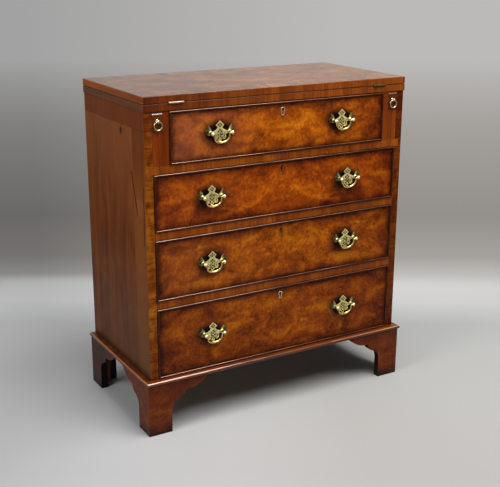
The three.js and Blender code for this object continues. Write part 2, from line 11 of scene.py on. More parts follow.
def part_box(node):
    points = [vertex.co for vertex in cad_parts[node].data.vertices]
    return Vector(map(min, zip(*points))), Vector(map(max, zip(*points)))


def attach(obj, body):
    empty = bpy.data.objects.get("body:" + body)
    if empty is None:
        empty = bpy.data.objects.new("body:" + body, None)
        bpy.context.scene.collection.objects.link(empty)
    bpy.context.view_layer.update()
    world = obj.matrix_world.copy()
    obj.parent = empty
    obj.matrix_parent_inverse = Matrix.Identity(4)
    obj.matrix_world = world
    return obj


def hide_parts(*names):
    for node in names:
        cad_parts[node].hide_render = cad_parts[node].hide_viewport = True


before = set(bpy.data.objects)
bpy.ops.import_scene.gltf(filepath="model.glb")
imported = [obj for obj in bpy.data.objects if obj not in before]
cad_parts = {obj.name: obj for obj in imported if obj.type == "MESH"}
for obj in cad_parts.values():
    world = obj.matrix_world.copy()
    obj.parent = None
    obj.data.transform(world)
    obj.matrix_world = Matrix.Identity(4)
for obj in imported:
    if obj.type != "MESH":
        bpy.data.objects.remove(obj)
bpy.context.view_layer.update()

MM = 0.001
PHOTO_WIDTH = 500
SENSOR_WIDTH = 36

# The photograph's camera: place in metres, angles in degrees, focal length in the photograph's pixels
CAMERA_PLACE = (-1.18199, -2.03515, 1.10675)
CAMERA_YAW = 30.341
CAMERA_PITCH = 17.242
CAMERA_ROLL = 0.228
CAMERA_FOCAL = 951.97

# The chest, in millimetres
FRONT = -165.5
BACK = 184.5
CARCASS_HALF = 355
FOOT_HEIGHT = 128
BACK_OF_FRONT = FRONT + 20
LEAF_JOINT = 785.4
LEAF_BORDER = 48
SIDE_BORDER = (FRONT + 66, 726)
LINE_HALF = 0.6
VENEER = 0.2
LOPER_FACE_DROP = 3.7
SIDES = {"left": -1, "right": 1}
DRAWERS = (1, 2, 3, 4)

MAPPING = "ShaderNodeMapping"
MATH = "ShaderNodeMath"
RANGE = "ShaderNodeMapRange"
RAMP = "ShaderNodeValToRGB"
SPLIT = "ShaderNodeSeparateXYZ"
SHADE = "MULTIPLY"


def corners(node):
    """The lowest and highest corners of a CAD node."""
    return [np.array(corner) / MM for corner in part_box(node)]


def middle(node):
    """The middle of a CAD node's box."""
    low, high = corners(node)
    return (low + high) / 2


def linear(code):
    """An sRGB hex code as linear light: each channel is c / 12.92 below 0.04045, and
    ((c + 0.055) / 1.055) to the power 2.4 above it."""
    channels = [int(code[start:start + 2], 16) / 255 for start in (1, 3, 5)]
    return [c / 12.92 if c <= 0.04045 else ((c + 0.055) / 1.055) ** 2.4 for c in channels] + [1]


def fill_in(tree, made, inputs):
    """Sets a node's inputs, by name or in their order: a socket is linked, a hex code is a colour,
    and anything else is a value."""
    for name, value in inputs.items() if isinstance(inputs, dict) else enumerate(inputs):
        if isinstance(value, bpy.types.NodeSocket):
            tree.links.new(value, made.inputs[name])
        else:
            made.inputs[name].default_value = linear(value) if isinstance(value, str) else value


def add(tree, kind, inputs=(), stops=(), output=0, **settings):
    """Adds a node to a tree, with its settings, its values, its links and a ramp's stops, and gives
    one of its outputs."""
    made = tree.nodes.new(kind)
    for name, value in settings.items():
        setattr(made, name, value)
    fill_in(tree, made, inputs)
    for index, (position, code) in enumerate(stops):
        elements = made.color_ramp.elements
        element = elements[index] if index < 2 else elements.new(position)
        element.position = position
        element.color = linear(code)
    return made.outputs[output]


# ---- materials: the parts that they are made from ----

def start_material(name):
    """A new material, its tree, and the place on the object in millimetres."""
    material = bpy.data.materials.new(name)
    material.use_nodes = True
    tree = material.node_tree
    place = add(tree, "ShaderNodeTexCoord", output="Object")
    return material, tree, add(tree, MAPPING, {"Vector": place, "Scale": [1 / MM] * 3})


def cells(tree, place, sizes, **inputs):
    """Noise whose cells have the given sizes along x, y and z."""
    scaled = add(tree, MAPPING, {"Vector": place, "Scale": [1 / size for size in sizes]})
    return add(tree, "ShaderNodeTexNoise", {"Vector": scaled, "Scale": 1, **inputs})


def summed(tree, *layers):
    """Layers of pattern added together, each times its share."""
    total = 0
    for share, layer in layers:
        total = add(tree, MATH, (layer, share, total), operation="MULTIPLY_ADD")
    return total


def layered(tree, colour, *layers):
    """Colours laid over a colour, one after another. A layer is a pattern, its span, a colour, and
    SHADE where it only darkens. A span turns the pattern's values, from its first number to its
    second, into strengths from its third to its fourth; without one the pattern is the strength."""
    for pattern, span, over, *mode in layers:
        strength = add(tree, RANGE, (pattern, *span)) if span else pattern
        colour = add(tree, "ShaderNodeMix", {0: strength, 6: colour, 7: over}, output=2,
                     data_type="RGBA", blend_type=mode[0] if mode else "MIX")
    return colour


def straight_grain(tree, place, along, stops, wave=0.6):
    """Plain walnut, oak or pine: broad stripes 20 mm wide, streaks 3 mm wide and pores 0.8 mm wide,
    all drawn out along the grain. Gives the colour and a height from 0 to 1."""
    layers = []
    for share, across, length, detail in ((0.45, 20, 380, 2), (0.38, 3.2, 150, 3), (0.17, 0.8, 16, 2)):
        sizes = [across] * 3
        sizes[along] = length
        layers.append((share, cells(tree, place, sizes, Detail=detail, Distortion=wave)))
    height = summed(tree, *layers)
    return add(tree, RAMP, [height], stops), height


def burr_figure(tree, place, stops):
    """Figured walnut, half of it the same on both sides of the joint at x = 0: clouds 80 mm across,
    feathers 50 mm long, upright curls 18 mm long, mottle of 8 mm, and dark pips in clusters. Gives
    the colour and a height from 0 to 1."""
    x, y, z = add(tree, SPLIT, [place]).node.outputs
    leafed = add(tree, "ShaderNodeCombineXYZ", (add(tree, MATH, [x], operation="ABSOLUTE"), y, z))
    slanted = add(tree, MAPPING, {"Vector": leafed, "Rotation": (0, math.radians(38), 0)})
    upright = add(tree, MAPPING, {"Vector": place, "Rotation": (0, math.radians(-9), 0)})
    height = summed(
        tree,
        (0.34, cells(tree, leafed, (80, 60, 46), Detail=2, Distortion=1.4)),
        (0.2, cells(tree, place, (150, 60, 70), Detail=2, Distortion=0.8)),
        (0.1, cells(tree, slanted, (16, 16, 50), Detail=3, Distortion=2.6)),
        (0.15, cells(tree, upright, (4.2, 4.2, 18), Detail=3, Distortion=1.8)),
        (0.21, cells(tree, place, (8, 8, 6.5), Detail=4, Roughness=0.62)),
    )
    colour = add(tree, RAMP, [height], stops)
    cluster = add(tree, RANGE, (cells(tree, place, (52, 52, 40), Detail=1), 0.53, 0.63))
    for pitch, share in ((9, 0.7), (23, 0.65)):
        eyes = add(tree, "ShaderNodeTexVoronoi", {"Vector": place, "Scale": 1 / pitch})
        eyes = add(tree, RANGE, (eyes, 0.08, 0.25, share, 0))
        pips = add(tree, MATH, (eyes, cluster), operation="MULTIPLY")
        colour = layered(tree, colour, (pips, (), "#3d1806"))
    return colour, height


def veneer_strips(tree, place, along, length, stops):
    """Cross-grained veneer laid in short pieces: the grain runs across the strip, and each piece of
    the given length has its own tone, with a fine dark joint between two pieces."""
    colour, height = straight_grain(tree, place, 0 if along else 2, stops)
    run = add(tree, SPLIT, [place], output=along)
    run = summed(tree, (1 / length, run), (0.6, cells(tree, place, (40, 40, 40), Detail=1)))
    number = add(tree, MATH, [run], operation="FLOOR")
    tone = add(tree, "ShaderNodeTexWhiteNoise", {"W": number}, noise_dimensions="1D")
    part = add(tree, MATH, [run], operation="FRACT")
    joint = add(tree, MATH, (part, 0.8 / length), operation="LESS_THAN")
    return layered(tree, colour, (tone, (0, 1, 0, 0.3), "#7a4a24", SHADE), (joint, (), "#2e1408")), height


def around(tree, place, spot, reach):
    """The distance from a spot, as a share of the reach along x, y and z. A reach of 0 leaves that
    direction out."""
    scale = [1 / size if size else 0 for size in reach]
    offset = [-length * share for length, share in zip(spot, scale)]
    near = add(tree, MAPPING, {"Vector": place, "Location": offset, "Scale": scale})
    return add(tree, "ShaderNodeVectorMath", [near], output="Value", operation="LENGTH")


def split_line(tree, place, start, end, width):
    """1 along a fine split between two places on a side, each a y and a z. The place is turned so
    that z runs along the split, and the split wanders by 2 mm."""
    run = np.array(end) - np.array(start)
    half = float(np.hypot(*run)) / 2
    sine, cosine = run / (2 * half)
    _, y, z = add(tree, SPLIT, [add(tree, MAPPING, {
        "Vector": place, "Rotation": (math.atan2(sine, cosine), 0, 0),
        "Location": (0, start[1] * sine - start[0] * cosine, -start[0] * sine - start[1] * cosine),
    })]).node.outputs
    across = summed(tree, (1, y), (4, cells(tree, place, (9, 9, 14), Detail=2)))
    beside = add(tree, MATH, (across, 2, width / 2), operation="COMPARE")
    within = add(tree, MATH, (z, half, half), operation="COMPARE")
    return add(tree, MATH, (beside, within), operation="MULTIPLY")


def edge_distance(tree, *spans):
    """How far inside a rectangle: the smaller distance to a side, from two directions with their
    lowest and highest place. Gives that, and 1 where it is in the first direction."""
    distances = []
    for along, low, high in spans:
        offset = add(tree, MATH, (along, (low + high) / 2), operation="SUBTRACT")
        away = add(tree, MATH, [offset], operation="ABSOLUTE")
        distances.append(add(tree, MATH, ((high - low) / 2, away), operation="SUBTRACT"))
    return [add(tree, MATH, distances, operation=choice) for choice in ("MINIMUM", "LESS_THAN")]


def worn_rough(tree, place, low, high):
    """Roughness that drifts over 60 mm, from handling and old wax."""
    return add(tree, RANGE, (cells(tree, place, (60, 60, 60), Detail=3), 0.35, 0.65, low, high))


def painted_nose_highlight(tree, place, colour, pales, shares, amount):
    """A painted highlight on a moulding's upper side: a colour over it where the surface faces between outward
    and up, from one colour at the left to another at the right, more or less by its shares at the left, the
    middle and the right, and browner at the ends."""
    x = add(tree, SPLIT, [place])
    _, out, up = add(tree, SPLIT, [add(tree, "ShaderNodeTexCoord", output="Normal")]).node.outputs
    patchy = summed(
        tree,
        (1, cells(tree, place, (90, 30, 30), Detail=3)),
        (1, add(tree, RANGE, (x, -320, 0, shares[0], shares[1]))),
        (1, add(tree, RANGE, (x, 0, 320, 0, shares[2] - shares[1]))),
    )
    wear_and_highlight = add(tree, RANGE, (patchy, 0.36, 0.72, 0.1, amount))
    for facing in ((up, 0.36, 0.68), (up, 0.9, 0.98, 1, 0)):
        wear_and_highlight = add(tree, MATH, (wear_and_highlight, add(tree, RANGE, facing)), operation="MULTIPLY")
    pale = layered(tree, pales[0], (x, (-300, 300, 0, 1), pales[1]))
    return layered(tree, colour, (wear_and_highlight, (), layered(tree, "#a8683c", (out, (-0.4, -0.2, 1, 0), pale))))


def finish(material, colour, height, depth, roughness, coat=0, coat_roughness=0.1, metallic=0):
    """Joins a colour and a height to the shader; depth is the relief. Under polish the wood itself
    hardly shines."""
    tree = material.node_tree
    fill_in(tree, tree.nodes["Principled BSDF"], {
        "Base Color": colour, "Roughness": roughness, "Metallic": metallic,
        "Coat Weight": coat, "Coat Roughness": coat_roughness,
        "Specular IOR Level": 0.04 if coat else 0.5,
        "Normal": add(tree, "ShaderNodeBump", {"Height": height, "Distance": depth * MM, "Strength": 0.6}),
    })
    return material


# ---- materials: the finished ones ----

# Woods, from their darkest to their palest
BURR = ((0.362, "#4e1e04"), (0.436, "#733304"), (0.5, "#954607"), (0.565, "#b56308"), (0.66, "#d28919"))
LEAF = ((0.37, "#432006"), (0.46, "#62350e"), (0.55, "#7d4a18"), (0.66, "#986427"))
SIDE = ((0.28, "#542406"), (0.47, "#67310a"), (0.58, "#743a0e"), (0.75, "#884a18"))
STILE = ((0.34, "#6a3208"), (0.47, "#8a4a0b"), (0.58, "#a05e12"), (0.7, "#b87626"))
CROSS = ((0.3, "#5c2707"), (0.46, "#773608"), (0.57, "#8b450a"), (0.74, "#a65812"))
SOLID = ((0.34, "#2c1004"), (0.48, "#4c1f08"), (0.6, "#672d0c"), (0.72, "#7f4214"))
OAK = ((0.34, "#8f7048"), (0.48, "#b08f62"), (0.6, "#c4a577"), (0.72, "#d2b88e"))
PINE = ((0.34, "#6d4f2c"), (0.48, "#8f6d42"), (0.6, "#a88557"), (0.72, "#b99a6c"))


def burr_drawer(index, tint, amount, left_sheen):
    """Burr walnut veneer, knife cut and French polished: an orange ground with brown clouds under a gloss, with
    a reddish sheen painted on at the left and painted shade towards the ends and the edges. It is darker by the
    beads, with dirt and painted shade, and round the brasses, with old polish, dirt and a painted shadow."""
    low, high = corners(f"drawer_{index}_front")
    material, tree, place = start_material(f"burr_walnut_drawer_{index}")
    x, y, z = add(tree, SPLIT, [place]).node.outputs
    colour, height = burr_figure(tree, place, BURR)
    joint = add(tree, MATH, (x, 0, 0.35), operation="COMPARE")
    edge, _ = edge_distance(tree, (x, low[0], high[0]), (z, low[2], high[2]))
    drift = cells(tree, place, (26, 26, 26), Detail=3)
    ragged = summed(tree, (1, edge), (-16, drift))
    colour = layered(
        tree, colour,
        (amount, (), tint, SHADE),
        # A reddish sheen painted on at the left.
        (x, (-300, -60, left_sheen, 0), "#b07050"),
        (joint, (0, 1, 0, 0.35), "#4a2008"),
        # Painted shade: darker towards both ends and towards the edges, darkest in the creases by the beads,
        # where dirt also gathers.
        (x, (40, 320, 0, 0.5), "#a06a4c", SHADE),
        (x, (-80, -320, 0, 0.4), "#a06a4c", SHADE),
        (ragged, (0, 50, 0.35, 0), "#96603c", SHADE),
        (ragged, (-5, 10, 0.9, 0), "#4a1f0e", SHADE),
    )
    # The keyhole's stain, then old polish and dirt round each brass; the larger patch is moved down and to the
    # left as a painted shadow.
    stains_and_shade = [((0, 0, high[2] - 26), (9, 0, 15), 0.4)]
    for hand in SIDES:
        spot = middle(f"drawer_{index}_handle_{hand}_plate")
        stains_and_shade.append((spot - (4, 0, 3), (48, 0, 35), 0.95))
        stains_and_shade.append((spot - (1, 0, 0), (31, 0, 23), 1))
    for spot, size, depth in stains_and_shade:
        away = summed(tree, (1, around(tree, place, spot, size)), (0.5, drift))
        colour = layered(tree, colour, (away, (0.85, 1.3, depth, 0), "#3d1a0c", SHADE))
    behind = add(tree, MATH, (y, FRONT + 0.3), operation="GREATER_THAN")
    colour = layered(tree, colour, (behind, (), straight_grain(tree, place, 0, PINE)[0]))
    return finish(material, colour, height, 0.12, worn_rough(tree, place, 0.4, 0.52), 0.14, 0.18)


def cock_bead():
    """Solid walnut beads, scratched to shape and dark brown with polish, with a highlight painted pale along
    the upper side of each nose."""
    material, tree, place = start_material("walnut_cock_bead")
    colour, height = straight_grain(tree, place, 0, SOLID)
    dark = layered(tree, colour, (0.6, (), "#5a2c18", SHADE))
    wear_and_highlight = painted_nose_highlight(tree, place, dark, ("#dcb29c", "#a8683a"), (0.2, 0.02, -0.04), 0.62)
    return finish(material, wear_and_highlight, height, 0.05, 0.4, 0.3, 0.14)


def side_panel():
    """Walnut veneer with upright grain inside a crossbanded border, polished but faded, with a knot,
    a patched place and two shrinkage splits by the front of the left side. Its front edge has
    cross-grained strips, and the rest of the board is pine."""
    material, tree, place = start_material("walnut_side_veneer")
    x, y, z = add(tree, SPLIT, [place]).node.outputs
    panel, height = straight_grain(tree, place, 2, SIDE, 0.9)
    patches = cells(tree, place, (60, 45, 170), Detail=2, Distortion=0.8)
    face = layered(tree, panel, (patches, (0.46, 0.7, 0, 0.45), "#7a4c38", SHADE),
                   (z, (460, 700, 0, 0.35), "#8c5834"))
    band, _ = straight_grain(tree, add(tree, MAPPING, {"Vector": place, "Location": (7, 11, 5)}), 2, SIDE)
    upright = layered(tree, band, (0.4, (), layered(tree, "#603418", (z, (560, 660, 1, 0), "#8c521c"))))
    level = layered(tree, band, (0.5, (), "#7a4422"), (0.35, (), "#a07860", SHADE))
    for along, limit, side, strip in ((y, SIDE_BORDER[0], "LESS_THAN", upright),
                                      (z, SIDE_BORDER[1], "GREATER_THAN", level)):
        past = add(tree, MATH, (along, limit), operation=side)
        line = add(tree, MATH, (along, limit, LINE_HALF), operation="COMPARE")
        face = layered(tree, face, (past, (), strip), (line, (0, 1, 0, 0.5), "#2c150b"))
    mended = summed(tree, (1, around(tree, place, (0, -134, 550), (0, 26, 24))),
                    (0.7, cells(tree, place, (12, 12, 12), Detail=3)))
    knot = around(tree, place, (0, -39, 711), (0, 10, 13))
    marked = layered(
        tree, face,
        (mended, (1.1, 1.35, 0.4, 0), "#8a5230"),
        (knot, (0.35, 1, 0.9, 0), "#2c130a"),
        (split_line(tree, place, (-92, 626), (-121, 529), 4.2), (), "#1c0d07"),
        (split_line(tree, place, (-157, 600), (-154, 465), 3), (), "#1c0d07"),
    )
    face = layered(
        tree, face,
        (add(tree, MATH, (x, 0), operation="LESS_THAN"), (), marked),
        # Towards the bottom the side is painted greyer and darker, a grey sheen with shade; the dark band along
        # the moulding is dirt with painted shade.
        (z, (FOOT_HEIGHT + 8, FOOT_HEIGHT + 330, 0.5, 0), "#403528"),
        (z, (FOOT_HEIGHT + 8, FOOT_HEIGHT + 30, 0.8, 0), "#3a241a", SHADE),
    )
    stile, _ = veneer_strips(tree, place, 2, 44, STILE)
    stile = layered(
        tree, stile,
        (cells(tree, place, (14, 14, 22), Detail=3), (0.42, 0.62, 0, 0.6), "#9a6038", SHADE),
        # Darker towards the top and the bottom; the right stile is darker still, as painted shade.
        (z, (600, 760, 0, 0.6), "#a46c40", SHADE),
        (z, (250, 160, 0, 0.6), "#a46c40", SHADE),
        (x, (-200, 200, 0, 0.7), "#a46c40", SHADE),
    )
    away = add(tree, MATH, [x], operation="ABSOLUTE")
    colour = layered(
        tree, straight_grain(tree, place, 2, PINE)[0],
        (add(tree, MATH, (y, FRONT + VENEER), operation="LESS_THAN"), (), stile),
        (add(tree, MATH, (away, CARCASS_HALF - VENEER), operation="GREATER_THAN"), (), face),
    )
    return finish(material, colour, height, 0.12, worn_rough(tree, place, 0.42, 0.55), 0.08, 0.22)


def loper_end():
    """The dark polished end of a loper, with a pale highlight painted along its top."""
    material, tree, place = start_material("walnut_loper_end")
    x, _, z = add(tree, SPLIT, [place]).node.outputs
    grain, height = straight_grain(tree, place, 2, CROSS)
    top = corners("loper_left")[1][2] - LOPER_FACE_DROP
    # A pale line painted along the top as a highlight, paler at the left.
    highlight_line = layered(tree, "#d0b8a8", (x, (-300, 300, 0, 1), "#a87450"))
    colour = layered(tree, grain, (0.75, (), "#6e4420", SHADE), (z, (top - 2.7, top - 1.9, 0, 1), highlight_line))
    return finish(material, colour, height, 0.05, 0.4, 0.3, 0.14)


def rail_veneer(name, length, core_along, *stains_and_shade):
    """Cross-grained walnut strips on the front edge of a pine board, polished."""
    material, tree, place = start_material(name)
    strips, height = veneer_strips(tree, place, 0, length, CROSS)
    y = add(tree, SPLIT, [place], output="Y")
    front = add(tree, MATH, (y, FRONT + VENEER), operation="LESS_THAN")
    core, _ = straight_grain(tree, place, core_along, PINE)
    colour = layered(tree, core, (front, (), layered(tree, strips, *stains_and_shade)))
    return finish(material, colour, height, 0.1, worn_rough(tree, place, 0.4, 0.52), 0.16, 0.18)


def leaf_veneer(name, node):
    """Figured walnut inside a crossbanded border on both faces of a leaf, polished to a gloss and
    faded in patches, and cross-grained strips on its edges, dark along the joint of the leaves."""
    low, high = corners(node)
    material, tree, place = start_material(name)
    x, y, z = add(tree, SPLIT, [place]).node.outputs
    flat = add(tree, MAPPING, {
        "Vector": place, "Rotation": (math.radians(90), 0, 0), "Location": (0, 40, 13),
    })
    figure, height = burr_figure(tree, flat, LEAF)
    edge, beside = edge_distance(tree, (x, low[0], high[0]), (y, low[1], high[1]))
    across, _ = straight_grain(tree, place, 0, LEAF)
    deep, _ = straight_grain(tree, place, 1, LEAF)
    inside = add(tree, MATH, (edge, LEAF_BORDER), operation="GREATER_THAN")
    line = add(tree, MATH, (edge, LEAF_BORDER, LINE_HALF), operation="COMPARE")
    faded = summed(tree, (1, cells(tree, place, (130, 90, 90), Detail=2)), (-0.9 * MM, x))
    face = layered(
        tree, deep,
        (beside, (), across),
        (inside, (), figure),
        (line, (0, 1, 0, 0.5), "#3a1a0b"),
        (faded, (0.48, 0.78, 0, 0.7), "#a08458", SHADE),
        (edge, (0, 9, 0.5, 0), "#5a2a16", SHADE),
    )
    strips, _ = veneer_strips(tree, place, 0, 96, CROSS)
    ends, _ = straight_grain(tree, place, 1, CROSS)
    ends = layered(tree, ends, (z, (LEAF_JOINT + 0.6, LEAF_JOINT - 0.4, 0, 0.6), "#2a2418"))
    away = add(tree, MATH, [x], operation="ABSOLUTE")
    at_end = add(tree, MATH, (away, CARCASS_HALF + 0.5), operation="GREATER_THAN")
    duller = add(tree, RANGE, (x, -340, 100, 0.75, 0))
    joint = add(tree, MATH, (z, LEAF_JOINT, 1.3), operation="COMPARE")
    rim = layered(
        tree, strips,
        (at_end, (), ends),
        (at_end, (0, 1, duller, 0.051), "#8a5c4c", SHADE),
        (joint, (0, 1, 0, 0.75), "#2a120a"),
    )
    facing = add(tree, SPLIT, [add(tree, "ShaderNodeTexCoord", output="Normal")], output="Z")
    level = add(tree, MATH, [facing], operation="ABSOLUTE")
    level = add(tree, MATH, (level, 0.8), operation="GREATER_THAN")
    gloss = add(tree, RANGE, (level, 0, 1, 0.3, 0.85))
    colour = layered(tree, rim, (level, (), face))
    return finish(material, colour, height, 0.1, worn_rough(tree, place, 0.3, 0.44), gloss, 0.12)


def solid_walnut(name, along, highlight_amount):
    """Solid walnut, planed or scratched to a moulding and polished, with a highlight painted pale along its
    upper side.
    """
    material, tree, place = start_material(name)
    colour, height = straight_grain(tree, place, along, SOLID)
    colour = painted_nose_highlight(tree, place, colour, ("#ecccb8", "#c08858"), (0.34, -0.28, 0.12), highlight_amount)
    return finish(material, colour, height, 0.08, worn_rough(tree, place, 0.34, 0.44), 0.7, 0.1)


def foot_veneer():
    """Bracket feet faced with figured walnut, upright grain, rubbed dark along the floor, with painted shade
    under the moulding and on the back feet, and painted nearly black inside, where shade falls."""
    material, tree, place = start_material("walnut_bracket_foot")
    figure, height = burr_figure(tree, place, BURR)
    grain, _ = straight_grain(tree, place, 2, CROSS)
    x, y, z = add(tree, SPLIT, [place]).node.outputs
    up = summed(tree, (1, z), (-30, cells(tree, place, (30, 30, 30), Detail=3)))
    facing = add(tree, SPLIT, [add(tree, "ShaderNodeTexCoord", output="Normal")]).node.outputs
    outward = []
    for along, turn in zip((x, y), facing):
        side = add(tree, MATH, [along], operation="SIGN")
        outward.append(add(tree, MATH, (side, turn), operation="MULTIPLY"))
    colour = layered(
        tree, grain,
        (0.6, (), figure),
        (0.8, (), "#946838", SHADE),
        (up, (-13, 18, 0.95, 0), "#301a0f", SHADE),
        # Painted shade under the moulding, on the faces that don't look outward, and on the back feet.
        (up, (90, 118, 0, 0.5), "#5a2a16", SHADE),
        (add(tree, MATH, outward, operation="MAXIMUM"), (0.1, 0.5, 0.96, 0), "#0e0906"),
        (y, (-20, 100, 0, 0.8), "#6a5448", SHADE),
    )
    return finish(material, colour, height, 0.1, worn_rough(tree, place, 0.4, 0.52), 0.25, 0.2)


def plain_wood(name, along, stops, roughness, dusty=0.4):
    """Oak linings or pine boards, planed and left bare, dry and dusty."""
    material, tree, place = start_material(name)
    colour, height = straight_grain(tree, place, along, stops, 1.2)
    dust = cells(tree, place, (70, 70, 70), Detail=3)
    colour = layered(tree, colour, (dust, (0.4, 0.7, 0, dusty), "#8a7458"))
    return finish(material, colour, height, 0.2, roughness)


def brass(name, pale, dark, roughness, depth, dirt_and_shade=False):
    """Cast or rolled brass, rubbed bright on what a hand meets and olive brown in its hollows. One with dirt
    and shade is a backplate: black in its piercings and where it meets the wood, from old polish and painted
    shade, and darkened on its wings by painted shade."""
    material, tree, place = start_material(name)
    tarnish = cells(tree, place, (5, 5, 5), Detail=4, Roughness=0.65)
    wear_and_highlight = add(tree, RANGE, (add(tree, "ShaderNodeNewGeometry", output="Pointiness"), 0.44, 0.54))
    bright = add(tree, RANGE, (summed(tree, (0.55, wear_and_highlight), (0.9, tarnish)), 0.62, 0.98))
    colour = layered(tree, dark, (bright, (), pale))
    if dirt_and_shade:
        x, y, z = add(tree, SPLIT, [place]).node.outputs
        # Painted shade: the plate darkens from 8 mm out from its middle towards the tips of its wings.
        top, lower = (middle(f"drawer_{index}_handle_right_plate")[0] for index in (1, 2))
        centre = add(tree, RANGE, (z, 600, 620, lower, top))
        out = add(tree, MATH, [x], operation="ABSOLUTE")
        out = add(tree, MATH, [summed(tree, (1, out), (-1, centre))], operation="ABSOLUTE")
        wing_shade = add(tree, RANGE, (summed(tree, (1, out), (-20, tarnish)), 8, 20, 0, 0.9))
        flat = add(tree, RANGE, (y, FRONT - 4.6, FRONT - 3.2))
        wing_shade = add(tree, MATH, (wing_shade, flat), operation="MULTIPLY")
        # Black over the back half of the plate's thickness, in the piercings and against the wood: old polish
        # and painted shade.
        colour = layered(tree, colour, (wing_shade, (), "#3a3016"), (y, (FRONT - 1.8, FRONT - 1.1, 0, 1), "#1c150a"))
    rough = add(tree, RANGE, (bright, 0, 1, roughness + 0.2, roughness))
    pits = cells(tree, place, (0.9, 0.9, 0.9), Detail=3)
    return finish(material, colour, pits, depth, rough, metallic=1)


def steel(name):
    """Old wrought iron: grey brown and dull, with rust in patches of 3 mm."""
    material, tree, place = start_material(name)
    rust = cells(tree, place, (3, 3, 3), Detail=4)
    colour = layered(tree, "#5b5650", (rust, (0.4, 0.65, 0, 1), "#4a2f20"))
    return finish(material, colour, rust, 0.05, 0.5, metallic=0.8)


# ---- pieces: shapes worked out on grids ----

def placed(x, y, z):
    """Points from their x, y and z, each a number or an array, spread to one shape."""
    return np.stack(np.broadcast_arrays(x, y, z), axis=-1)


def full_turn(count):
    """Angles round a circle."""
    return np.linspace(0, 2 * np.pi, count, endpoint=False)


def rectangle(left, low, right, high):
    """The corners of a rectangle, one after another."""
    return [(left, low), (right, low), (right, high), (left, high)]


def grid_faces(rows, columns, round_rows=False, round_columns=False):
    """Quads between neighbouring rows and columns of a grid. A round direction also joins its last
    line to its first."""
    index = np.arange(rows * columns).reshape(rows, columns)
    if round_rows:
        index = np.vstack([index, index[:1]])
    if round_columns:
        index = np.hstack([index, index[:, :1]])
    quads = [index[:-1, :-1], index[1:, :-1], index[1:, 1:], index[:-1, 1:]]
    return np.stack(quads, axis=-1).reshape(-1, 4).tolist()


def tube(rings):
    """A closed skin over rings of points, one row to a ring, with a flat cap on each end."""
    rows, columns = rings.shape[:2]
    last = (rows - 1) * columns
    caps = [list(range(columns))[::-1], list(range(last, last + columns))]
    return rings.reshape(-1, 3), grid_faces(rows, columns, round_columns=True) + caps


def hoop(rings):
    """A closed skin over rings of points whose last ring joins the first."""
    rows, columns = rings.shape[:2]
    return rings.reshape(-1, 3), grid_faces(rows, columns, True, True)


def turned(profile, place, sides=28):
    """A profile carried round a line along y: x = r cos a, z = r sin a, y as the profile has it."""
    radii, along = np.array(profile, float).T[..., None]
    angle = full_turn(sides)
    return tube(placed(radii * np.cos(angle), along, radii * np.sin(angle)) + place)


def traced(start, moves, steps):
    """Points along lines (two numbers) and curves (four: a control point c and an end e). A curve
    is (1 - t)^2 p + 2 t (1 - t) c + t^2 e for t from 0 to 1."""
    points = [np.array([start], float)]
    for move in moves:
        here = points[-1][-1]
        end = np.array(move[-2:], float)
        if len(move) == 2:
            points.append(end[None])
            continue
        t = np.linspace(0, 1, steps + 1)[1:, None]
        control = np.array(move[:2], float)
        points.append((1 - t) ** 2 * here + 2 * t * (1 - t) * control + t ** 2 * end)
    return np.vstack(points)


def slab(outline, inner):
    """A board between two outlines with the same number of points: two faces and their edges."""
    count = len(outline)
    faces = grid_faces(2, count, round_columns=True)
    faces += [list(range(count)), list(range(count, 2 * count))[::-1]]
    return np.vstack([outline, inner]), faces


def start_mesh(name, parts):
    """A mesh of several shapes: their points one after another, with the faces' numbers moved on."""
    points, faces, start = [], [], 0
    for part_points, part_faces in parts:
        points.append(np.asarray(part_points, float))
        faces += [[start + corner for corner in face] for face in part_faces]
        start += len(part_points)
    mesh = bpy.data.meshes.new(name)
    mesh.from_pydata((np.vstack(points) * MM).tolist(), [], faces)
    return mesh


def make_piece(name, shape, material, body, sharp, bevel=0):
    """Closes the seams of a mesh, or of several shapes, turns its faces out, and makes it a piece
    that rides on a body."""
    mesh = start_mesh(name, shape) if isinstance(shape, list) else shape
    work = bmesh.new()
    work.from_mesh(mesh)
    bmesh.ops.remove_doubles(work, verts=work.verts, dist=0.002 * MM)
    bmesh.ops.dissolve_degenerate(work, edges=work.edges, dist=0.001 * MM)
    bmesh.ops.recalc_face_normals(work, faces=work.faces)
    work.to_mesh(mesh)
    work.free()
    mesh.polygons.foreach_set("use_smooth", [True] * len(mesh.polygons))
    mesh.set_sharp_from_angle(angle=math.radians(sharp))
    mesh.materials.append(material)
    piece = bpy.data.objects.new(name, mesh)
    bpy.context.scene.collection.objects.link(piece)
    if bevel:
        round_off = piece.modifiers.new("arris", "BEVEL")
        round_off.width = bevel * MM
        round_off.segments = 2
        round_off.limit_method = "ANGLE"
        round_off.angle_limit = math.radians(40)
    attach(piece, body)
    return piece


# ---- wood pieces ----

BEAD_LIFT = 0.03  # how far the bead stands outside the solid that it covers


def bead_ring(index):
    """A cock bead round a drawer's front: a half round nose of radius 2 on straight sides, as a
    closed profile, carried round the rectangle with mitred corners."""
    low, high = corners(f"drawer_{index}_front")
    radius = 2 + BEAD_LIFT
    turn = np.linspace(np.pi, 0, 15)
    inset = np.concatenate([[-BEAD_LIFT], 2 + radius * np.cos(turn), [4 + BEAD_LIFT]])
    depth = np.concatenate([[FRONT + 7], FRONT - 1 - radius * np.sin(turn), [FRONT + 7]])
    outline = rectangle(low[0] + inset, low[2] + inset, high[0] - inset, high[2] - inset)
    return hoop(np.stack([placed(x, depth, z) for x, z in outline]))


